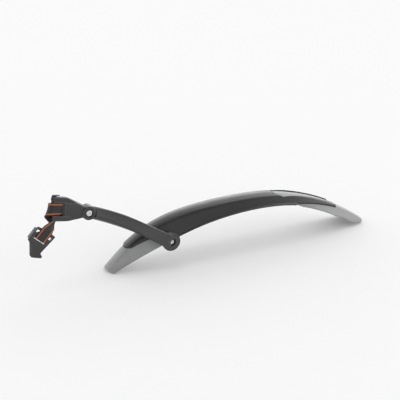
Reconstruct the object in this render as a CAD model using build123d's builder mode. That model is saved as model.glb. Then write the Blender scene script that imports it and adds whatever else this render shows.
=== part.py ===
"""Clip-on rear mudguard for a bicycle: strapped clamp head, cranked arm and arched blade.

Millimetres, +Z up, +X towards the rear of the bicycle. The origin is on the seatpost's axis, at
half the height of the strap. The mudguard stands as it rests, on the two ends of its blade.
"""

import os
from math import cos, hypot, radians, sin, tan

from build123d import *

# Seatpost and clamp head. The head's own axes lean back with the seatpost.
seatpost_diameter = 30.0
head_lean = 9.5
head_near = 9.0
head_far = 7.0
head_top = 17.0
head_bottom = -19.5
roof_length = 39.0
roof_line = 9.0
roof_ridge = 1.0
roof_curve = 14.0
belly_length = 40.0
neck_back = 5.0
neck_top = 9.4
neck_bottom = 7.4
outline_rounding = 4.0
shoulder_rounding = 30.0
saddle_angle = 120.0
pad_thickness = 2.0
pad_half_width = 3.5
pad_half_height = 9.0
far_wing = 4.0
far_step = -1.0
gate_wall = 1.8
gate_height = 9.0
catch_front = 34.0
catch_wall = 5.0
catch_width = 5.0
catch_depth = 3.0
catch_top = 8.0
tab_width = 2.2
tab_top = 19.3
tab_bottom = 11.5
tab_front = 14.5
tab_end = 28.0
tab_notch = 23.0
tab_lip = 1.3
tab_slant = 1.7
groove_width = 0.9
groove_depth = 0.8
lower_groove = 11.6
notch_reach = 43.6
edge_rounding = 2.2

# Strap, its pin and the channel that it leaves the head by
strap_width = 20.0
strap_thickness = 1.6
strap_clearance = 0.35
strap_depth = 6.4
run_depth = 4.0
dip_start = 25.5
dip_rounding = 4.0
pin_diameter = 4.0
pin_reach = 44.0
pin_seat = 2.5
recess_end = 31.0
recess_bevel = 3.2
coil_start = 16.5
coil_lean = 0.22

# Head pivot, between the clamp head's ears
head_reach = 73.7
head_pivot_drop = 5.9
ear_radius = 11.4
ear_rise = 1.6
ear_gap = 1.0
ear_gap_depth = 1.5
tongue_width = 5.4
friction_washer_thickness = 0.6
friction_washer_diameter = 18.0
head_screw_diameter = 6.0
head_screw_head_diameter = 10.0
head_screw_head_height = 2.4
head_counterbore_diameter = 13.4
head_counterbore_depth = 3.6
head_nut_flats = 10.0
head_nut_height = 2.6
washer_thickness = 0.8
washer_margin = 1.5
screw_setback = 0.5
bore_clearance = 0.05
seat_clearance = 0.2

# Arm, from the head pivot to the blade pivot
arm_length = 142.5
arm_fall = 26.1
shoulder_gap = 1.6
shoulder_width = 18.0
shoulder_height = 20.0
shoulder_roll = 30.0
leg_thickness = 7.0
leg_height = 21.0
disc_radius = 15.3
side_clearance = 0.3

# Blade pivot, on the blade's near flank
lug_face = 32.0
lug_radius = 12.5
lug_length = 13.0
blade_screw_diameter = 5.0
blade_screw_head_diameter = 8.0
blade_screw_head_height = 2.4
blade_counterbore_diameter = 14.5
blade_counterbore_depth = 3.6
blade_nut_flats = 8.0
blade_nut_height = 4.0

# Blade: heights are above the ground, lengths are behind the front tip
pivot_height = 42.9
tip_to_pivot = 95.9
blade_wall = 2.2
flap_wall = 1.8
flap_gap = 0.15
edge_drop = 1.5
crown_slope = 10.0
ridge_rounding = 45.0
crown_rounding = 8.0
flank_rounding = 3.0

# Buckle: a hook plate with two slots and the bar that the strap wraps
buckle_along = -0.2
buckle_across = -2.5
buckle_drop = 51.5
buckle_turn = 33.5
buckle_thickness = 4.0
flange_width = 2.4
flange_height = 4.5
flange_top = 13.0
flange_bottom = -6.0
flange_front = -17.0
slot_clearance = 1.0
lower_slot_height = 3.0
bar_height = 7.0
bar_thickness = 2.4
upper_slot_width = 29.0
upper_slot_height = 4.5
wrap_clearance = 0.3
wrap_rise = 19.0
rim_bevel = 0.9

# Directions and planes of the leaning clamp head
lean = radians(head_lean)
head_x = Vector(cos(lean), 0, -sin(lean))
head_z = Vector(sin(lean), 0, cos(lean))
head_plan = Plane(origin=(0, 0, 0), x_dir=head_x, z_dir=head_z)
head_side = Plane(origin=(0, 0, 0), x_dir=head_x, z_dir=(0, -1, 0))
head_section = Plane(origin=(0, 0, 0), x_dir=(0, 1, 0), z_dir=head_x)

# Pivot centres
head_pivot = head_side.from_local_coords((head_reach, -head_pivot_drop, 0))
fall = radians(arm_fall)
arm_x = Vector(cos(fall), 0, -sin(fall))
arm_z = Vector(sin(fall), 0, cos(fall))
blade_pivot = head_pivot + arm_x * arm_length
ground = blade_pivot.Z - pivot_height
tip = blade_pivot.X - tip_to_pivot

# Saddle: the vee that the seatpost beds in, and the apex of its bare groove
half_vee = radians(saddle_angle / 2)
pad_apex = seatpost_diameter / 2 / sin(half_vee)
saddle_apex = pad_apex + pad_thickness / sin(half_vee)
wing_tip = saddle_apex - head_near / tan(half_vee)

# Depths of the fork, the strap's channel and the strap's loop on its pin
fork_half_gap = tongue_width / 2 + friction_washer_thickness + bore_clearance
channel_half_height = strap_width / 2 + strap_clearance
channel_half_width = strap_thickness / 2 + strap_clearance
loop_radius = pin_diameter / 2 + strap_thickness / 2 + bore_clearance
pin_depth = run_depth - loop_radius
ear_face = head_near + ear_rise
neck = head_reach - neck_back

os.makedirs("parts", exist_ok=True)


def axis_plane(centre, y):
    """A sketch plane across a pivot's axis, at the given depth, facing the near side."""
    return Plane(origin=(centre.X, y, centre.Z), x_dir=(1, 0, 0), z_dir=(0, -1, 0))


def run_band(width):
    """The strap's run inside the head and its turn round the pin, drawn as wide as asked."""
    with BuildSketch(head_plan) as band:
        with BuildLine():
            FilletPolyline(
                (coil_start, -strap_depth),
                (dip_start, -strap_depth),
                (recess_end, -run_depth),
                (pin_reach, -run_depth),
                radius=dip_rounding,
            )
        trace(line_width=width)
        with Locations((pin_reach, -pin_depth)):
            Circle(loop_radius + width / 2)
    return band.sketch


# Clamp head: side outline, then the saddle, the roof, the strap's way, the fork and the pivot
with BuildPart() as clamp_head:
    with BuildSketch(head_side.offset(-head_far)):
        with BuildLine():
            FilletPolyline(
                (wing_tip, head_bottom),
                (belly_length, head_bottom),
                (neck, -head_pivot_drop - neck_bottom),
                (neck, -head_pivot_drop + neck_top),
                (roof_length, head_top),
                (wing_tip, head_top),
                radius=(outline_rounding, shoulder_rounding, 0, 0, shoulder_rounding, outline_rounding),
                close=True,
            )
        make_face()
        with Locations((head_reach, -head_pivot_drop)):
            Circle(ear_radius)
    extrude(amount=head_near + head_far)
    fillet(clamp_head.faces().filter_by(Axis.Y).edges(), edge_rounding)
    # Rounded roof above the near face, and the fine groove under it
    with BuildSketch(head_section):
        with BuildLine():
            roof_arc = RadiusArc((-head_near, roof_line), (roof_ridge, head_top), roof_curve)
            Polyline(
                roof_arc @ 1,
                (roof_ridge, 2 * head_top),
                (-2 * head_near, 2 * head_top),
                (-2 * head_near, roof_line),
                roof_arc @ 0,
            )
        make_face()
        with Locations((-head_near, roof_line - groove_width / 2)):
            Rectangle(2 * groove_depth, groove_width)
    extrude(amount=neck, mode=Mode.SUBTRACT)
    # Saddle groove
    with BuildSketch(head_plan):
        with BuildLine():
            Polyline(
                (saddle_apex, 0),
                (saddle_apex - 2 * head_near / tan(half_vee), 2 * head_near),
                (saddle_apex - 2 * head_near / tan(half_vee), -2 * head_near),
                close=True,
            )
        make_face()
    extrude(amount=2 * head_top, both=True, mode=Mode.SUBTRACT)
    # Far side cut back under its step, and the catch that the buckle hooks into
    with BuildSketch(head_plan.offset(head_bottom)):
        with Locations((catch_front / 2, (head_far + far_wing) / 2)):
            Rectangle(catch_front, head_far - far_wing)
    extrude(amount=far_step - head_bottom, mode=Mode.SUBTRACT)
    with BuildSketch(head_plan.offset(head_bottom)):
        with Locations((catch_front + catch_wall + catch_width / 2, head_far - catch_depth / 2)):
            Rectangle(catch_width, catch_depth)
    extrude(amount=catch_top - head_bottom, mode=Mode.SUBTRACT)
    # Tab on the far wing
    with BuildSketch(head_side.offset(-head_far)):
        with BuildLine():
            Polyline(
                (tab_front, tab_bottom),
                (tab_front + tab_slant, tab_top),
                (tab_end, tab_top),
                (tab_end, tab_top - tab_lip),
                (tab_notch, tab_top - tab_slant),
                (tab_notch, head_top - edge_rounding),
                (saddle_apex, tab_bottom),
                close=True,
            )
        make_face()
    extrude(amount=tab_width)
    # Gate under the saddle that the strap coils through
    with BuildSketch(head_plan.offset(head_bottom)):
        with Locations((0, gate_wall - head_near)):
            Rectangle(catch_front, head_near + head_far, align=(Align.MIN, Align.MIN))
    extrude(amount=gate_height, mode=Mode.SUBTRACT)
    # Recess that the strap lies in, with a bevelled end, and the channel to the strap's pin
    with BuildSketch(head_plan):
        with BuildLine():
            Polyline(
                (0, strap_depth - 2 * head_near),
                (recess_end + recess_bevel + head_near - strap_depth, strap_depth - 2 * head_near),
                (recess_end, channel_half_width - strap_depth),
                (0, channel_half_width - strap_depth),
                close=True,
            )
        make_face()
    extrude(amount=channel_half_height, both=True, mode=Mode.SUBTRACT)
    extrude(run_band(2 * channel_half_width), amount=channel_half_height, both=True, mode=Mode.SUBTRACT)
    with BuildSketch(head_plan.offset(head_bottom)):
        with Locations((pin_reach, -pin_depth)):
            Circle(pin_diameter / 2)
    extrude(amount=channel_half_height - head_bottom + pin_seat, mode=Mode.SUBTRACT)
    # Fine groove that bounds the panel below
    with BuildSketch(head_side.offset(head_near)):
        with Locations(((recess_end + notch_reach) / 2, -lower_groove)):
            Rectangle(notch_reach - recess_end, groove_width)
        with Locations((notch_reach, (head_bottom - lower_groove) / 2)):
            Rectangle(groove_width, -head_bottom - lower_groove)
    extrude(amount=-groove_depth, mode=Mode.SUBTRACT)
    # Raised near ear, with a gap round it
    with BuildSketch(axis_plane(head_pivot, -head_near)):
        Circle(ear_radius + ear_gap)
    extrude(amount=-ear_gap_depth, mode=Mode.SUBTRACT)
    with BuildSketch(axis_plane(head_pivot, ear_gap_depth - head_near)):
        Circle(ear_radius)
    extrude(amount=ear_gap_depth + ear_rise)
    chamfer(clamp_head.faces().sort_by(Axis.Y)[0].edges(), rim_bevel)
    # Gap for the arm's tongue
    with BuildSketch(axis_plane(head_pivot, 0)):
        Circle(ear_radius + shoulder_gap)
    extrude(amount=fork_half_gap, both=True, mode=Mode.SUBTRACT)
    # Pivot bore, counterbore for the screw's head and pocket for the nut
    with BuildSketch(axis_plane(head_pivot, 0)):
        Circle(head_screw_diameter / 2 + bore_clearance)
    extrude(amount=ear_face, both=True, mode=Mode.SUBTRACT)
    with BuildSketch(axis_plane(head_pivot, -ear_face)):
        Circle(head_counterbore_diameter / 2)
    extrude(amount=-head_counterbore_depth, mode=Mode.SUBTRACT)
    with BuildSketch(axis_plane(head_pivot, head_far)):
        RegularPolygon(head_nut_flats / 2 + seat_clearance, 6, major_radius=False)
    extrude(amount=head_nut_height, mode=Mode.SUBTRACT)
clamp_head.part.label = "clamp_head"
export_step(clamp_head.part, "parts/clamp_head.step")

# Rubber pad in the saddle
pad_back = saddle_apex - flap_gap
with BuildPart() as saddle_pad:
    with BuildSketch(head_plan):
        with BuildLine():
            Polyline(
                (pad_back, 0),
                (pad_back - pad_half_width / tan(half_vee), pad_half_width),
                (pad_apex - pad_half_width / tan(half_vee), pad_half_width),
                (pad_apex, 0),
                (pad_apex - pad_half_width / tan(half_vee), -pad_half_width),
                (pad_back - pad_half_width / tan(half_vee), -pad_half_width),
                close=True,
            )
        make_face()
    extrude(amount=pad_half_height, both=True)
saddle_pad.part.label = "saddle_pad"
export_step(saddle_pad.part, "parts/saddle_pad.step")

# Steel pin that the strap's sewn loop turns on
with BuildPart() as strap_pin:
    with BuildSketch(head_plan.offset(head_bottom + seat_clearance)):
        with Locations((pin_reach, -pin_depth)):
            Circle(pin_diameter / 2 - bore_clearance)
    extrude(amount=channel_half_height - head_bottom + pin_seat - 2 * seat_clearance)
strap_pin.part.label = "strap_pin"
export_step(strap_pin.part, "parts/strap_pin.step")

# Buckle's place, hanging below the head
turn = radians(buckle_turn)
buckle_u = head_x * cos(turn) - head_z * sin(turn)
buckle_v = head_x * sin(turn) + head_z * cos(turn)
buckle_origin = head_x * buckle_along + Vector(0, buckle_across, 0) - head_z * buckle_drop
buckle_face = Plane(origin=buckle_origin, x_dir=buckle_u, z_dir=(0, -1, 0))
lower_slot_width = strap_width + 2 * slot_clearance
bar_middle = (lower_slot_height + bar_height) / 2
upper_slot_middle = bar_middle + (bar_height + upper_slot_height) / 2
bar_setback = (buckle_thickness - bar_thickness) / 2
wrap_depth = bar_thickness / 2 + wrap_clearance + strap_thickness / 2

# Buckle: hook plate, slots, and bars set back on both faces for the strap
with BuildPart() as buckle:
    with BuildSketch(buckle_face):
        with BuildLine():
            FilletPolyline(
                (-16.6, 17.2),
                (-17.0, -8.4),
                (-11.3, -10.5),
                (2.8, -27.7),
                (7.0, -28.6),
                (20.5, -22.1),
                (21.0, -18.7),
                (14.8, -16.2),
                (18.3, 18.1),
                (13.7, 18.3),
                radius=(4, 4, 4, 2, 3, 1.5, 1.5, 2, 1.5, 2),
                close=True,
            )
        make_face()
    extrude(amount=buckle_thickness / 2, both=True)
    chamfer(buckle.faces().filter_by(Axis.Y).edges(), rim_bevel)
    with BuildSketch(buckle_face.offset(-buckle_thickness / 2)):
        with Locations((flange_front, flange_bottom)):
            Rectangle(flange_width, flange_top - flange_bottom, align=(Align.MIN, Align.MIN))
    extrude(amount=-flange_height)
    with BuildSketch(buckle_face):
        Rectangle(lower_slot_width, lower_slot_height)
        with Locations((0, upper_slot_middle)):
            Rectangle(upper_slot_width, upper_slot_height)
    extrude(amount=buckle_thickness, both=True, mode=Mode.SUBTRACT)
    with BuildSketch(buckle_face.offset(bar_thickness / 2)):
        Rectangle(lower_slot_width, 2 * wrap_rise, align=(Align.CENTER, Align.MIN))
    extrude(amount=bar_setback, mode=Mode.SUBTRACT)
    with BuildSketch(buckle_face.offset(-bar_thickness / 2)):
        with Locations((0, bar_middle)):
            Rectangle(lower_slot_width, bar_height + lower_slot_height)
    extrude(amount=-bar_setback, mode=Mode.SUBTRACT)
buckle.part.label = "buckle"
export_step(buckle.part, "parts/buckle.step")

# Strap: sewn loop on its pin, one loose coil in front of the saddle, and a sewn loop on the bar
coil_points = [
    (coil_start, -strap_depth, 0),
    (11.6, -4.4, -0.8),
    (9.4, 0.6, -3.4),
    (11.4, 5.4, -7.4),
    (16.0, 7.9, -12.4),
    (20.8, 7.4, -17.8),
    (23.0, 4.0, -22.4),
    (21.6, -0.4, -25.8),
    (16.0, -3.6, -29.4),
]
coil_end = buckle_origin + buckle_v * wrap_rise - Vector(0, wrap_depth, 0)
coil_line = Spline(
    *[head_x * x + Vector(0, y, 0) + head_z * z for x, y, z in coil_points],
    coil_end,
    tangents=(-head_x, -buckle_v),
    tangent_scalars=(1, 1),
)
coil_steps = 48
coil_upright = head_z + head_x * coil_lean
coil_sections = []
for step in range(coil_steps + 1):
    spot = coil_line.position_at(step / coil_steps)
    tangent = coil_line.tangent_at(step / coil_steps)
    across = coil_upright - tangent * tangent.dot(coil_upright)
    with BuildSketch(Plane(spot, x_dir=across, z_dir=tangent)) as section:
        Rectangle(strap_width, strap_thickness)
    coil_sections.append(section.sketch)
with BuildPart() as strap:
    loft(sections=coil_sections)
    extrude(run_band(strap_thickness), amount=strap_width / 2, both=True)
    with BuildSketch(head_plan):
        with Locations((pin_reach, -pin_depth)):
            Circle(loop_radius - strap_thickness / 2)
    extrude(amount=strap_width, both=True, mode=Mode.SUBTRACT)
    with BuildSketch(Plane(origin=buckle_origin, x_dir=buckle_v, z_dir=buckle_u)):
        with Locations((bar_middle, wrap_depth)):
            Rectangle(wrap_rise - bar_middle, strap_thickness, align=(Align.MIN, Align.CENTER))
        with Locations((bar_middle, 0)):
            RectangleRounded(
                bar_height + 2 * wrap_clearance + 2 * strap_thickness,
                2 * wrap_depth + strap_thickness,
                wrap_clearance + strap_thickness,
            )
            RectangleRounded(
                bar_height + 2 * wrap_clearance,
                2 * wrap_depth - strap_thickness,
                wrap_clearance,
                mode=Mode.SUBTRACT,
            )
    extrude(amount=strap_width / 2, both=True)
strap.part.label = "strap"
export_step(strap.part, "parts/strap.step")


def socket_screw(centre, seat, end, shank_diameter, head_diameter, head_height):
    """A round-headed socket screw from its seat, on the near side, to its far end."""
    with BuildPart() as screw:
        with BuildSketch(axis_plane(centre, seat)):
            Circle(head_diameter / 2)
        extrude(amount=head_height)
        fillet(screw.edges().sort_by(Axis.Y)[0], head_height / 3)
        with BuildSketch(axis_plane(centre, seat - head_height)):
            RegularPolygon(shank_diameter / 3, 6, major_radius=False)
        extrude(amount=-head_height * 0.6, mode=Mode.SUBTRACT)
        with BuildSketch(axis_plane(centre, seat)):
            Circle(shank_diameter / 2)
        extrude(amount=-(end - seat))
        chamfer(screw.edges().sort_by(Axis.Y)[-1], shank_diameter / 10)
    return screw.part


def ring(centre, near, thickness, outer_diameter, inner_diameter):
    """A washer whose near face is at the given depth."""
    with BuildPart() as washer:
        with BuildSketch(axis_plane(centre, near)):
            Circle(outer_diameter / 2)
            Circle(inner_diameter / 2, mode=Mode.SUBTRACT)
        extrude(amount=-thickness)
    return washer.part


def hex_nut(centre, near, height, flats, thread_diameter):
    """A hexagonal nut whose near face is at the given depth."""
    with BuildPart() as nut:
        with BuildSketch(axis_plane(centre, near)):
            RegularPolygon(flats / 2, 6, major_radius=False)
            Circle(thread_diameter / 2 + bore_clearance, mode=Mode.SUBTRACT)
        extrude(amount=-height)
    return nut.part


# Head pivot: screw, washer, nut and the two friction washers beside the arm's tongue
head_seat = -ear_face + head_counterbore_depth
head_screw = socket_screw(
    head_pivot,
    head_seat - washer_thickness,
    head_far - screw_setback,
    head_screw_diameter,
    head_screw_head_diameter,
    head_screw_head_height,
)
head_screw.label = "head_pivot_screw"
export_step(head_screw, "parts/head_pivot_screw.step")

head_washer = ring(
    head_pivot,
    head_seat - washer_thickness,
    washer_thickness,
    head_screw_head_diameter + washer_margin,
    head_screw_diameter + 2 * bore_clearance,
)
head_washer.label = "head_pivot_washer"
export_step(head_washer, "parts/head_pivot_washer.step")

head_nut = hex_nut(
    head_pivot,
    head_far - head_nut_height,
    head_nut_height - seat_clearance,
    head_nut_flats,
    head_screw_diameter,
)
head_nut.label = "head_pivot_nut"
export_step(head_nut, "parts/head_pivot_nut.step")

friction_bore = head_screw_diameter + 2 * bore_clearance
with BuildPart() as friction_washers:
    add(ring(head_pivot, -tongue_width / 2 - friction_washer_thickness, friction_washer_thickness,
             friction_washer_diameter, friction_bore))
    add(ring(head_pivot, tongue_width / 2, friction_washer_thickness, friction_washer_diameter,
             friction_bore))
friction_washers.part.label = "head_friction_washers"
export_step(friction_washers.part, "parts/head_friction_washers.step")


# Arm: rounded at the head, cranked out to the near side, flat at the blade
def arm_section(along, rise, y, width, height, corner, roll):
    """A rounded section across the arm, placed along the line between the pivots and rolled upwards."""
    centre = head_pivot + arm_x * along + arm_z * rise + Vector(0, y, 0)
    across = Vector(0, cos(radians(roll)), 0) - arm_z * sin(radians(roll))
    with BuildSketch(Plane(origin=centre, x_dir=across, z_dir=arm_x)) as section:
        RectangleRounded(width, height, corner)
    return section.sketch


leg_inner = -lug_face - friction_washer_thickness - side_clearance
leg_middle = leg_inner - leg_thickness / 2
leg_outer = leg_inner - leg_thickness
with BuildPart() as arm:
    loft(
        sections=[
            arm_section(0, 0, 0, shoulder_width, shoulder_height, 7.5, shoulder_roll),
            arm_section(0.14 * arm_length, 1.6, -0.5, shoulder_width, shoulder_height, 7.5, shoulder_roll),
            arm_section(0.36 * arm_length, 3.6, leg_middle * 0.22, 17, shoulder_height, 6.0, 0.8 * shoulder_roll),
            arm_section(0.6 * arm_length, 3.8, leg_middle * 0.6, 13, shoulder_height, 4.5, 0.4 * shoulder_roll),
            arm_section(0.8 * arm_length, 2.0, leg_middle * 0.93, 9, leg_height, 2.8, 0.1 * shoulder_roll),
            arm_section(arm_length, 0, leg_middle, leg_thickness, leg_height + 3, 2.0, 0),
        ]
    )
    for side in (-1, 1):
        with BuildSketch(axis_plane(head_pivot, side * tongue_width / 2)):
            Circle(ear_radius + shoulder_gap)
        extrude(amount=-side * shoulder_width, mode=Mode.SUBTRACT)
    with BuildSketch(axis_plane(head_pivot, 0)):
        Circle(ear_radius)
    extrude(amount=tongue_width / 2, both=True)
    with BuildSketch(axis_plane(blade_pivot, leg_inner)):
        Circle(disc_radius)
    extrude(amount=leg_thickness)
    with BuildSketch(axis_plane(head_pivot, 0)):
        Circle(head_screw_diameter / 2 + bore_clearance)
    extrude(amount=tongue_width, both=True, mode=Mode.SUBTRACT)
    with BuildSketch(axis_plane(blade_pivot, 0)):
        Circle(blade_screw_diameter / 2 + bore_clearance)
    extrude(amount=lug_face + 3 * leg_thickness, mode=Mode.SUBTRACT)
    with BuildSketch(axis_plane(blade_pivot, leg_outer)):
        Circle(blade_counterbore_diameter / 2)
    extrude(amount=-blade_counterbore_depth, mode=Mode.SUBTRACT)
arm.part.label = "arm"
export_step(arm.part, "parts/arm.step")

# Blade: one arched surface, which the hard shell and both soft flaps follow
# Each station: distance behind the tip, crown height, crown half width, flank depth and half
# width, and the width of the lip along the lower edge
stations = [
    (-12.0, 0.5, 10.0, 5.5, 17.0, 2.5),
    (45.0, 47.9, 13.0, 24.9, 25.5, 1.0),
    (100.0, 72.3, 15.0, 27.8, 29.0, 1.2),
    (170.0, 84.0, 17.0, 20.5, 29.0, 3.0),
    (250.0, 87.2, 17.5, 15.0, 28.0, 4.5),
    (330.0, 81.0, 18.0, 13.0, 28.0, 5.0),
    (420.0, 54.7, 18.5, 16.2, 31.0, 5.0),
    (505.0, 8.3, 19.0, 6.8, 28.0, 4.0),
]
crown_points = [(tip + station[0], 0, ground + station[1]) for station in stations]
crown_line = Spline(*crown_points)


def inset_line(points, distance):
    """An open outline moved to its right-hand side by a distance."""
    normals = []
    for (x0, y0), (x1, y1) in zip(points, points[1:]):
        length = hypot(x1 - x0, y1 - y0)
        normals.append(Vector((y1 - y0) / length, (x0 - x1) / length))
    moved = []
    for point, before, after in zip(points, normals[:1] + normals, normals + normals[-1:]):
        step = (before + after) * (distance / (1 + before.dot(after)))
        moved.append((point[0] + step.X, point[1] + step.Y))
    return moved


def arch_section(index, depth_below, wall):
    """The wall's section at one station, with its outer face a depth below the arched surface."""
    crown_half, flank_depth, flank_half, lip = stations[index][2:]
    left = [
        (-flank_half - lip, -flank_depth - edge_drop),
        (-flank_half, -flank_depth),
        (-crown_half, -crown_half * tan(radians(crown_slope))),
    ]
    line = left + [(0, 0)] + [(-y, z) for y, z in reversed(left)]
    outer = inset_line(line, depth_below)
    inner = inset_line(line, depth_below + wall)
    lip_round = flank_rounding + depth_below
    crown_round = crown_rounding - depth_below
    ridge_round = ridge_rounding - depth_below
    outer_half = [0, lip_round, crown_round]
    inner_half = [0, lip_round + wall, crown_round - wall]
    outer_radii = outer_half + [ridge_round] + outer_half[::-1]
    inner_radii = inner_half + [ridge_round - wall] + inner_half[::-1]
    tangent = crown_line.tangent_at(crown_points[index])
    with BuildSketch(Plane(origin=crown_points[index], x_dir=(0, 1, 0), z_dir=tangent)) as section:
        with BuildLine():
            FilletPolyline(*outer, *reversed(inner), radius=outer_radii + inner_radii, close=True)
        make_face()
    return section.sketch


def arch_shell(depth_below, wall, plan_points, plan_radii):
    """The whole arched wall, cut to a plan outline given behind the tip for the near half."""
    half = [(tip + x, -y) for x, y in plan_points]
    other = [(x, -y) for x, y in reversed(half)]
    with BuildPart() as shell:
        loft(sections=[arch_section(index, depth_below, wall) for index in range(len(stations))])
        with BuildSketch(Plane.XY):
            with BuildLine():
                FilletPolyline(*half, *other, radius=plan_radii + plan_radii[::-1], close=True)
            make_face()
        extrude(amount=400, both=True, mode=Mode.INTERSECT)
    return shell.part


# Plan outlines of the near half, from front to rear: distance behind the tip, distance from the middle
blade_plan = [
    (28.0, 4.5),
    (32.5, 12.2),
    (70.0, 17.6),
    (88.0, 20.0),
    (88.0, 45.0),
    (338.0, 45.0),
    (345.0, 28.8),
    (441.0, 19.6),
    (438.0, 8.0),
    (322.0, 19.6),
    (312.5, 10.0),
    (313.0, 0.5),
]
blade_plan_radii = [6, 8, 10, 3, 0, 0, 6, 2, 2, 5, 6, 0]
front_plan = [(-5.0, 8.0), (5.0, 23.0), (90.0, 45.0)]
front_plan_radii = [12, 10, 0]
tail_plan = [(290.0, 22.0), (340.0, 24.0), (366.0, 36.0), (445.0, 29.5), (503.0, 27.0)]
tail_plan_radii = [0, 10, 10, 20, 14]

blade_shell = arch_shell(0, blade_wall, blade_plan, blade_plan_radii)
with BuildPart() as blade:
    add(blade_shell)
    with BuildSketch(axis_plane(blade_pivot, -lug_face)):
        Circle(lug_radius)
    extrude(amount=-lug_length)
    with BuildSketch(axis_plane(blade_pivot, 0)):
        Circle(blade_screw_diameter / 2 + bore_clearance)
    extrude(amount=lug_face + 1, mode=Mode.SUBTRACT)
    with BuildSketch(axis_plane(blade_pivot, -lug_face + lug_length)):
        RegularPolygon(blade_nut_flats / 2 + seat_clearance, 6, major_radius=False)
    extrude(amount=blade_nut_height, mode=Mode.SUBTRACT)
blade.part.label = "blade"
export_step(blade.part, "parts/blade.step")

flap_depth = blade_wall + flap_gap
front_shell = arch_shell(flap_depth, flap_wall, front_plan, front_plan_radii)
with BuildPart() as front_flap:
    add(front_shell)
    with BuildSketch(axis_plane(blade_pivot, 0)):
        Circle(lug_radius + side_clearance)
    extrude(amount=lug_face, mode=Mode.SUBTRACT)
front_flap.part.label = "front_flap"
export_step(front_flap.part, "parts/front_flap.step")

tail_flap = arch_shell(flap_depth, flap_wall, tail_plan, tail_plan_radii)
tail_flap.label = "tail_flap"
export_step(tail_flap, "parts/tail_flap.step")

# Blade pivot: screw, washer, friction washer and nut
blade_seat = leg_outer + blade_counterbore_depth
blade_screw = socket_screw(
    blade_pivot,
    blade_seat - washer_thickness,
    -lug_face + lug_length - screw_setback,
    blade_screw_diameter,
    blade_screw_head_diameter,
    blade_screw_head_height,
)
blade_screw.label = "blade_pivot_screw"
export_step(blade_screw, "parts/blade_pivot_screw.step")

blade_washer = ring(
    blade_pivot,
    blade_seat - washer_thickness,
    washer_thickness,
    blade_screw_head_diameter + washer_margin,
    blade_screw_diameter + 2 * bore_clearance,
)
blade_washer.label = "blade_pivot_washer"
export_step(blade_washer, "parts/blade_pivot_washer.step")

blade_friction = ring(
    blade_pivot,
    -lug_face - friction_washer_thickness,
    friction_washer_thickness,
    2 * lug_radius - washer_margin,
    blade_screw_diameter + 2 * bore_clearance,
)
blade_friction.label = "blade_friction_washer"
export_step(blade_friction, "parts/blade_friction_washer.step")

blade_nut = hex_nut(
    blade_pivot,
    -lug_face + lug_length - blade_nut_height,
    blade_nut_height - seat_clearance,
    blade_nut_flats,
    blade_screw_diameter,
)
blade_nut.label = "blade_pivot_nut"
export_step(blade_nut, "parts/blade_pivot_nut.step")
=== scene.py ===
# %% [markdown]
# A clip-on rear mudguard for a bicycle. A strapped clamp head holds a seatpost, a cranked arm hangs
# from the head on a friction pivot, and a long arched blade hangs from the arm on a second one.
# The hard pieces come from the CAD frame with their shapes finished, so this lesson gives them
# their surfaces, makes the webbing strap, and sets up a pale studio that suits the photograph.

# %% Load the frame
import math

import bmesh
import bpy
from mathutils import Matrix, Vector
from mathutils.geometry import interpolate_bezier


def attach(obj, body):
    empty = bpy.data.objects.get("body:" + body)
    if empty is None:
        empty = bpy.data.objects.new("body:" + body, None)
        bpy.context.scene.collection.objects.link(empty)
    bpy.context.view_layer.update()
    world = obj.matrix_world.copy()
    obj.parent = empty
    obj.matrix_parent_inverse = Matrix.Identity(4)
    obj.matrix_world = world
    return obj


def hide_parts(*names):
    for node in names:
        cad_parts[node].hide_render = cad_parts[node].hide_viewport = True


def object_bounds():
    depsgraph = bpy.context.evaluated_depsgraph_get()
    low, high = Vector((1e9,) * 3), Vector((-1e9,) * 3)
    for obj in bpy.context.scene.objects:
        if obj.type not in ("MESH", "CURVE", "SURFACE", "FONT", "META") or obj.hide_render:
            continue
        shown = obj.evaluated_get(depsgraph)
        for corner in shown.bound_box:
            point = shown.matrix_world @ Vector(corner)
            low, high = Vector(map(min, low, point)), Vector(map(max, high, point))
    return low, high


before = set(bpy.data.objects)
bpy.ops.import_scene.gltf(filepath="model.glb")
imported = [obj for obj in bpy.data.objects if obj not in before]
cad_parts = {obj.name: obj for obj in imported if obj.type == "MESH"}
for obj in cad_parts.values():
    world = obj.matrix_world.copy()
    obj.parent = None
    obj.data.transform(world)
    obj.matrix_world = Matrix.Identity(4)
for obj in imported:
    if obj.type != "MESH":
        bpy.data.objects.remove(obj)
cad_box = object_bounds()
print("CAD nodes:", len(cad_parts), "lowest point:", round(cad_box[0].z, 4))

# %% [markdown]
# The photograph is taken from the front and a little above, with the blade running away to the
# right. A camera could be aimed by eye, but the seatpost clamp, both pivots and the blade's tips
# are known in the CAD and visible in the picture, and they settle where the camera stood. The lens
# is twice as long as the sensor is wide, which is a short telephoto.

# %% Camera
studio = bpy.context.scene
lens = bpy.data.cameras.new("studio_lens")
lens.sensor_width = 36
lens.lens = 72
camera = bpy.data.objects.new("studio_camera", lens)
camera.location = (-0.3143, -1.1261, 0.4295)
aim = Vector((0.3872, 0.2213, -0.1234)) - camera.location
camera.rotation_euler = aim.to_track_quat("-Z", "Y").to_euler()
studio.collection.objects.link(camera)
studio.camera = camera
print("camera looks down by", round(math.degrees(math.asin(-aim.normalized().z)), 1), "degrees")

# %% [markdown]
# Every finish below is a small net of shader nodes. Wiring nodes by hand takes three lines for each
# one, so one helper makes a node, sets what is constant and links what comes from another node.

# %% Helpers for node materials
def node(tree, kind, wires=None, **settings):
    """Adds one node: settings are its own properties, wires its inputs, each a value or a socket."""
    made = tree.nodes.new(kind)
    for key, value in settings.items():
        setattr(made, key, value)
    for key, value in (wires or {}).items():
        if isinstance(value, bpy.types.NodeSocket):
            tree.links.new(value, made.inputs[key])
        else:
            made.inputs[key].default_value = value
    return made


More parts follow.
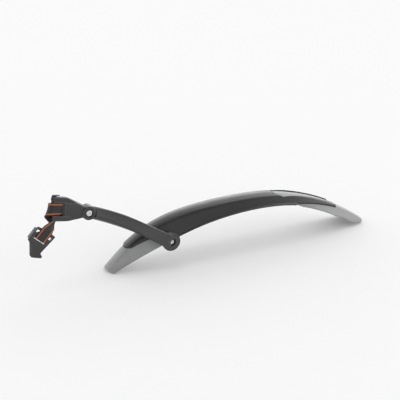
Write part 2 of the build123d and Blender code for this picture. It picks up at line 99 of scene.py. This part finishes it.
def new_finish(name):
    """A material with a bare Principled surface, its node tree, and the surface."""
    finish = bpy.data.materials.new(name)
    finish.use_nodes = True
    tree = finish.node_tree
    tree.nodes.clear()
    surface = tree.nodes.new("ShaderNodeBsdfPrincipled")
    output = tree.nodes.new("ShaderNodeOutputMaterial")
    tree.links.new(surface.outputs["BSDF"], output.inputs["Surface"])
    return finish, tree, surface


def grey(level, warm=0.0):
    """An opaque grey, a touch warmer where warm is above nought."""
    return (level * (1 + warm), level, level * (1 - warm), 1)


def mix_colour(tree, share, first, second):
    """The colour between two others."""
    mixed = node(tree, "ShaderNodeMix", {0: share, 6: first, 7: second}, data_type="RGBA")
    return mixed.outputs[2]


def between(tree, value, low, high, first, last):
    """Maps a value from one range to another, and holds it at the ends."""
    wires = {"Value": value, "From Min": low, "From Max": high, "To Min": first, "To Max": last}
    return node(tree, "ShaderNodeMapRange", wires).outputs["Result"]


print("node helpers ready")

# %% [markdown]
# The mudguard stands on a white sheet that is lit from all round. A curved backdrop behind it would
# hide the object when it is looked at from the back, so the floor is one wide plane. Its colour is
# painted a touch paler far away, as in the picture, a painted brightening of the light in the
# distance, and it has a faint fibre so that it isn't a single flat colour.

# %% Floor
floor_level = cad_box[0].z
floor_reach = 9
floor_mesh = bpy.data.meshes.new("studio_floor")
sheet = bmesh.new()
bmesh.ops.create_grid(sheet, x_segments=24, y_segments=24, size=floor_reach)
sheet.to_mesh(floor_mesh)
sheet.free()
floor = bpy.data.objects.new("studio_floor", floor_mesh)
floor.location = (0.3, 0.2, floor_level)
studio.collection.objects.link(floor)

paper, tree, surface = new_finish("white_sheet")
away = Vector((aim.x, aim.y, 0)).normalized()
spot = node(tree, "ShaderNodeNewGeometry").outputs["Position"]
depth = node(tree, "ShaderNodeVectorMath", {0: spot, 1: away}, operation="DOT_PRODUCT")
# Painted light: the sheet's colour grows paler with distance, a painted brightening far away.
far_light_share = between(tree, depth.outputs["Value"], -0.9, 2.1, 0.0, 1.0)
painted_far_light = node(tree, "ShaderNodeValToRGB", {"Fac": far_light_share})
painted_far_light.color_ramp.elements[0].color = grey(0.89)
painted_far_light.color_ramp.elements[1].color = grey(0.9)
fibre = node(tree, "ShaderNodeTexNoise", {"Vector": spot, "Scale": 900.0, "Detail": 3.0})
raised = {"Height": fibre.outputs["Fac"], "Strength": 0.03, "Distance": 0.0002}
ripple = node(tree, "ShaderNodeBump", raised)
tree.links.new(painted_far_light.outputs["Color"], surface.inputs["Base Color"])
tree.links.new(ripple.outputs["Normal"], surface.inputs["Normal"])
surface.inputs["Roughness"].default_value = 0.95
surface.inputs["Specular IOR Level"].default_value = 0.0
floor_mesh.materials.append(paper)
print("floor at", round(floor_level, 4), "m")

# %% [markdown]
# The light in the picture is soft. It comes in low from all round, as in a light tent, and more of
# it from behind: the crown shines, the flanks that face the camera stay dark, and the sheet is only
# shaded where the blade is close to it. One lamp above would darken all the sheet below the blade,
# so the sky brightens towards the far side and towards the horizon. A weak and wide sun, which
# doesn't weaken with distance, then deepens the shade a little.

# %% Sky and lamp
sky = bpy.data.worlds.new("light_tent")
studio.world = sky
sky.use_nodes = True
tree = sky.node_tree
tree.nodes.clear()
facing = node(tree, "ShaderNodeTexCoord").outputs["Generated"]
to_the_right = Vector((away.y, -away.x, 0))
bright_side = away * 0.9 + to_the_right * 0.4
behind = node(tree, "ShaderNodeVectorMath", {0: facing, 1: bright_side}, operation="DOT_PRODUCT")
near_glow, far_glow = 1.1, 2.7
side = between(tree, behind.outputs["Value"], -0.7, 0.8, near_glow, far_glow)
height = node(tree, "ShaderNodeSeparateXYZ", {"Vector": facing}).outputs["Z"]
horizon_share, zenith_share = 1.5, 0.15
low_down = between(tree, height, 0.0, 0.9, horizon_share, zenith_share)
glow = node(tree, "ShaderNodeMath", {0: side, 1: low_down}, operation="MULTIPLY").outputs[0]
tent = node(tree, "ShaderNodeBackground", {"Color": grey(1.0), "Strength": glow})
node(tree, "ShaderNodeOutputWorld", {"Surface": tent.outputs["Background"]})

lamp = bpy.data.lights.new("wide_sun", "SUN")
lamp.energy = 0.35
lamp.angle = math.radians(30)
sun = bpy.data.objects.new("wide_sun", lamp)
downward = Vector((0.05, -0.12, -0.99))
sun.rotation_euler = downward.to_track_quat("-Z", "Y").to_euler()
studio.collection.objects.link(sun)
studio.view_settings.view_transform = "Standard"
print("sky brightest towards", [round(v, 2) for v in bright_side], "and a sun of", round(lamp.energy, 2))

# %% [markdown]
# The blade, the arm and the clamp head are injection moulded in dark plastic. The mould is etched,
# so the surface has a fine grain that scatters the light. The grain is a bump far smaller than a
# pixel here, with a cloudy change of tone and gloss over it, because a moulding is never even.
# Edges and corners are painted a little paler: partly rubbed by use, partly a painted highlight
# where light catches them. The bevel node finds them: it gives the normal of a rounded copy of the
# surface, and where that differs from the real normal, there is an edge.

# %% Moulded plastic
edge_radius = 0.0009


def moulded(name, tone, worn_and_lit_tone, gloss, grain_size, warm=0.0):
    """Etched moulded plastic: its tone, that of its edges, its roughness, and its grain in metres."""
    finish, tree, surface = new_finish(name)
    spot = node(tree, "ShaderNodeTexCoord").outputs["Object"]
    patches = {"Vector": spot, "Scale": 30.0, "Detail": 5.0, "Roughness": 0.6}
    cloud = node(tree, "ShaderNodeTexNoise", patches).outputs["Fac"]
    share = between(tree, cloud, 0.3, 0.7, 0.0, 1.0)
    body = mix_colour(tree, share, grey(tone * 0.9, warm), grey(tone * 1.1, warm))
    soft = node(tree, "ShaderNodeBevel", {"Radius": edge_radius}, samples=4).outputs["Normal"]
    hard = node(tree, "ShaderNodeNewGeometry").outputs["Normal"]
    match = node(tree, "ShaderNodeVectorMath", {0: soft, 1: hard}, operation="DOT_PRODUCT")
    edge = between(tree, match.outputs["Value"], 0.985, 0.8, 0.0, 1.0)
    speck = node(tree, "ShaderNodeTexNoise", {"Vector": spot, "Scale": 260.0, "Detail": 3.0})
    patchy = between(tree, speck.outputs["Fac"], 0.35, 0.6, 0.25, 1.0)
    # Paler edges: partly rubbed by use, partly a painted highlight where light catches the edges.
    edge_wear_and_light = node(tree, "ShaderNodeMath", {0: edge, 1: patchy}, operation="MULTIPLY").outputs[0]
    tree.links.new(mix_colour(tree, edge_wear_and_light, body, grey(worn_and_lit_tone, warm)), surface.inputs["Base Color"])
    shine = between(tree, cloud, 0.3, 0.7, gloss - 0.04, gloss + 0.05)
    tree.links.new(shine, surface.inputs["Roughness"])
    grain = node(tree, "ShaderNodeTexNoise", {"Vector": spot, "Scale": 1 / grain_size, "Detail": 2.0})
    raised = {"Height": grain.outputs["Fac"], "Strength": 0.25, "Distance": grain_size / 8}
    etched = node(tree, "ShaderNodeBump", raised)
    tree.links.new(etched.outputs["Normal"], surface.inputs["Normal"])
    surface.inputs["Specular IOR Level"].default_value = 0.5
    return finish


dark_shell = moulded("blade_dark_plastic", 0.01, 0.13, 0.40, 0.0005)
arm_plastic = moulded("arm_dark_plastic", 0.03, 0.13, 0.38, 0.0006)
head_plastic = moulded("head_dark_plastic", 0.022, 0.17, 0.40, 0.0006)
flap_plastic = moulded("flap_grey_plastic", 0.24, 0.29, 0.5, 0.0004, -0.01)
print("plastics:", dark_shell.name, arm_plastic.name, head_plastic.name, flap_plastic.name)

# %% [markdown]
# The screws are bright plated steel, and their washers are painted near black, a painted shade for
# the shadowed recess round each screw's head, so that each head stands out in a dark ring. The
# friction washers are black nylon, and the pad in the saddle is soft rubber. All of them are small,
# so each finish only needs its own gloss and a light unevenness.

# %% Steel, nylon and rubber
def small_part(name, tone, gloss, metal, mark_size, mark_depth):
    """A finish for a small piece: its tone, roughness and metal share, and its marks in metres."""
    finish, tree, surface = new_finish(name)
    spot = node(tree, "ShaderNodeTexCoord").outputs["Object"]
    blots = {"Vector": spot, "Scale": 220.0, "Detail": 4.0}
    smear = node(tree, "ShaderNodeTexNoise", blots).outputs["Fac"]
    body = mix_colour(tree, smear, grey(tone * 0.85), grey(tone * 1.1))
    tree.links.new(body, surface.inputs["Base Color"])
    shine = between(tree, smear, 0.3, 0.7, gloss - 0.05, gloss + 0.08)
    tree.links.new(shine, surface.inputs["Roughness"])
    marks = node(tree, "ShaderNodeTexNoise", {"Vector": spot, "Scale": 1 / mark_size, "Detail": 1.0})
    raised = {"Height": marks.outputs["Fac"], "Strength": 0.3, "Distance": mark_depth}
    scored = node(tree, "ShaderNodeBump", raised)
    tree.links.new(scored.outputs["Normal"], surface.inputs["Normal"])
    surface.inputs["Metallic"].default_value = metal
    return finish


bright_steel = small_part("plated_steel", 0.62, 0.28, 1.0, 0.0004, 0.00003)
# The washers are painted near black, a painted shade for the shadowed recess round each screw head.
painted_shade_steel = small_part("painted_shade_washer_steel", 0.015, 0.5, 1.0, 0.0004, 0.00003)
black_nylon = small_part("black_nylon", 0.02, 0.5, 0.0, 0.0005, 0.00004)
saddle_rubber = small_part("saddle_rubber", 0.018, 0.75, 0.0, 0.0008, 0.0001)
print("small finishes:", bright_steel.name, painted_shade_steel.name, black_nylon.name, saddle_rubber.name)

# %% [markdown]
# Each CAD node gets the finish of the stuff that it is made of. Its mesh stays as the CAD made it.

# %% Finishes on the CAD nodes
finishes = {
    "blade": dark_shell,
    "front_flap": flap_plastic,
    "tail_flap": flap_plastic,
    "arm": arm_plastic,
    "clamp_head": head_plastic,
    "buckle": head_plastic,
    "saddle_pad": saddle_rubber,
    "head_friction_washers": black_nylon,
    "blade_friction_washer": black_nylon,
    "strap_pin": bright_steel,
    "head_pivot_screw": bright_steel,
    "head_pivot_washer": painted_shade_steel,
    "head_pivot_nut": bright_steel,
    "blade_pivot_screw": bright_steel,
    "blade_pivot_washer": painted_shade_steel,
    "blade_pivot_nut": bright_steel,
}
for name, finish in finishes.items():
    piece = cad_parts[name]
    piece.data.materials.clear()
    piece.data.materials.append(finish)
print("finished nodes:", len(finishes))

# %% [markdown]
# The strap is one length of flat webbing. It is sewn round a steel pin inside the clamp head, leaves
# the head at the saddle, makes one loose coil where the seatpost would be, and is sewn round the bar
# of the buckle. A cloth simulation would let so short and stiff a band fall apart, so its route is
# drawn through points, and a flat profile is carried along it. The points are given on the
# head's own axes, which lean back with the seatpost.

# %% Route of the strap
mm = 0.001
lean = math.radians(9.5)
head_along = Vector((math.cos(lean), 0, -math.sin(lean)))
head_up = Vector((math.sin(lean), 0, math.cos(lean)))


def on_head(along, y, up):
    """A point given in millimetres on the leaning head's axes."""
    return (head_along * along + Vector((0, y, 0)) + head_up * up) * mm


hang = math.radians(33.5)
buckle_across = head_along * math.cos(hang) - head_up * math.sin(hang)
buckle_up = head_along * math.sin(hang) + head_up * math.cos(hang)
buckle_middle = on_head(-0.2, -2.5, -51.5)


def on_buckle(up, y):
    """A point in millimetres on the buckle's middle line, y in front of (-) or behind its mid plane."""
    return buckle_middle + buckle_up * (up * mm) + Vector((0, y * mm, 0))


def arc(centre, radius, first, last, steps):
    """Points of a bend about a centre, in the plane that it is drawn in."""
    turns = [math.radians(first + (last - first) * step / steps) for step in range(steps + 1)]
    return [(centre[0] + radius * math.cos(a), centre[1] + radius * math.sin(a)) for a in turns]


pin_radius = 2.85
dip_radius = 4
pin_turn = arc((44, -1.15), pin_radius, 210, -90, 20)
dip = arc((31.84, -8), dip_radius, 90, 113.6, 3) + arc((24.66, -2.4), dip_radius, 293.6, 270, 3)
inside = [on_head(x, y, 0) for x, y in pin_turn + dip]
coil_points = [
    (16.5, -6.4, 0),
    (11.6, -4.4, -0.8),
    (9.4, 0.6, -3.4),
    (11.4, 5.4, -7.4),
    (16.0, 7.9, -12.4),
    (20.8, 7.4, -17.8),
    (23.0, 4.0, -22.4),
    (21.6, -0.4, -25.8),
    (16.0, -3.6, -29.4),
]
knots = [on_head(*point) for point in coil_points] + [on_buckle(19, -2.3)]


def smooth_through(points, first_way, last_way, steps):
    """A smooth line through points, which leaves and arrives in the given directions."""
    ways = [first_way]
    for before, here, after in zip(points, points[1:], points[2:]):
        near, far = (here - before).length, (after - here).length
        ways.append(((here - before) / near * far + (after - here) / far * near) / (near + far))
    ways.append(last_way)
    line = [points[0]]
    for start, end, way, next_way in zip(points, points[1:], ways, ways[1:]):
        third = (end - start).length / 3
        line += interpolate_bezier(start, start + way * third, end - next_way * third, end, steps)[1:]
    return line


coil = smooth_through(knots, -head_along, -buckle_up, 9)
bar_radius = 1.1
bar_turn = arc((1.5, -1.2), bar_radius, 270, 180, 6)
bar_turn += arc((1.5, 1.2), bar_radius, 180, 90, 6) + arc((8.5, 1.2), bar_radius, 90, 0, 6)
bar_loop = [on_buckle(up, y) for up, y in bar_turn] + [on_buckle(9.6, -1.4)]
upright = head_up + head_along * 0.22
route = [(spot, upright) for spot in inside + coil]
run_in = [on_buckle(14, -2.3), on_buckle(8, -2.3)]
route += [(spot, -buckle_across) for spot in run_in + bar_loop]

# %% [markdown]
# Webbing is 20 mm wide and 1.6 mm thick, with soft selvedges. The profile is a flat band whose two
# long edges are rounded. Each point of the route carries one copy of it, turned so that the band's
# width stays as upright as its direction allows, and a map along and across the band is kept for
# the weave. On the inner face the map starts past the stripes, so that face is plain black.

# %% Strap band
half_width = 10 * mm
half_thick = 0.8 * mm
flat_share = 0.955
selvedge = half_thick * 0.56
face = [half_width * (share / 6 - 1) * flat_share for share in range(13)]
edge_bend = [math.radians(angle) for angle in (60, 25, -25, -60)]
profile = [(a, half_thick) for a in face]
profile += [(half_width - selvedge * (1 - math.cos(b)), half_thick * math.sin(b)) for b in edge_bend]
profile += [(-a, -half_thick) for a in face]
profile += [(selvedge * (1 - math.cos(b)) - half_width, -half_thick * math.sin(b)) for b in edge_bend]

band = bmesh.new()
weave_map = band.loops.layers.uv.new("weave")
rings = []
travelled = 0.0
for index, (spot, guide) in enumerate(route):
    before = route[max(index - 1, 0)][0]
    after = route[min(index + 1, len(route) - 1)][0]
    way = (after - before).normalized()
    across = (guide - way * way.dot(guide)).normalized()
    out = way.cross(across)
    travelled += (spot - before).length
    ring = [band.verts.new(spot + across * a + out * n) for a, n in profile]
    rings.append((ring, travelled))
count = len(profile)
inner_count = len(face) - 1
inner_start, outer_start = 2.5, 0.5
for (ring, start), (next_ring, end) in zip(rings, rings[1:]):
    for i in range(count):
        j = (i + 1) % count
        quad = band.faces.new((ring[i], ring[j], next_ring[j], next_ring[i]))
        quad.smooth = True
        left, right = profile[i][0], profile[j][0]
        marks = [(left, start), (right, start), (right, end), (left, end)]
        shift = inner_start if i < inner_count else outer_start
        for loop, (a, along) in zip(quad.loops, marks):
            loop[weave_map].uv = (a / (2 * half_width) + shift, along / (2 * half_width))
for ring in (rings[0][0], rings[-1][0]):
    band.faces.new(ring)
bmesh.ops.recalc_face_normals(band, faces=band.faces)
strap_mesh = bpy.data.meshes.new("webbing_strap")
band.to_mesh(strap_mesh)
band.free()
strap = bpy.data.objects.new("webbing_strap", strap_mesh)
studio.collection.objects.link(strap)
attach(strap, "clamp")
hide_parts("strap")
print("strap faces:", len(strap_mesh.polygons))

# %% [markdown]
# The webbing is black polyester with an orange thread run in near each selvedge. Warp yarns run
# along it and the weft crosses them, so the surface is rows of short bars that step from row to row.
# Two waves, one along and one across, multiplied together, give that relief for the bump, and a
# colour ramp across the band lays in the two orange stripes. The same relief paints the hollows
# between the yarns darker, a painted shade.

# %% Webbing finish
webbing, tree, surface = new_finish("striped_webbing")
chart = node(tree, "ShaderNodeUVMap", uv_map="weave").outputs["UV"]
axes = node(tree, "ShaderNodeSeparateXYZ", {"Vector": chart}).outputs


def yarn(rate, axis):
    """A wave of so many yarns in a band's width."""
    wires = {0: axis, 1: rate * math.tau}
    turned = node(tree, "ShaderNodeMath", wires, operation="MULTIPLY")
    return node(tree, "ShaderNodeMath", {0: turned.outputs[0]}, operation="SINE").outputs[0]


warp = yarn(14, axes["X"])
weft = yarn(18, axes["Y"])
cross = node(tree, "ShaderNodeMath", {0: warp, 1: weft}, operation="MULTIPLY").outputs[0]
relief = between(tree, cross, -1.0, 1.0, 0.0, 1.0)
stripes = node(tree, "ShaderNodeValToRGB", {"Fac": axes["X"]})
ramp = stripes.color_ramp
black = grey(0.012)
orange = (0.55, 0.13, 0.035, 1)
ramp.elements[0].color = black
ramp.elements[1].color = black
for place, colour in ((0.085, black), (0.1, orange), (0.165, orange), (0.18, black)):
    for side in (place, 1 - place):
        ramp.elements.new(side).color = colour
# The hollows between the yarns are painted darker, a painted shade.
shade = between(tree, relief, 0.0, 1.0, 0.55, 1.0)
thread = mix_colour(tree, shade, grey(0.006), stripes.outputs["Color"])
tree.links.new(thread, surface.inputs["Base Color"])
ribs = node(tree, "ShaderNodeBump", {"Height": relief, "Strength": 0.6, "Distance": 0.0003})
tree.links.new(ribs.outputs["Normal"], surface.inputs["Normal"])
fuzz = node(tree, "ShaderNodeTexNoise", {"Vector": chart, "Scale": 120.0, "Detail": 3.0}).outputs["Fac"]
tree.links.new(between(tree, fuzz, 0.3, 0.7, 0.6, 0.85), surface.inputs["Roughness"])
surface.inputs["Sheen Weight"].default_value = 0.15
strap_mesh.materials.append(webbing)
print("webbing finish has", len(ramp.elements), "ramp stops")

# %% Sizes and finish
print("CAD box", [[round(v, 4) for v in corner] for corner in cad_box])
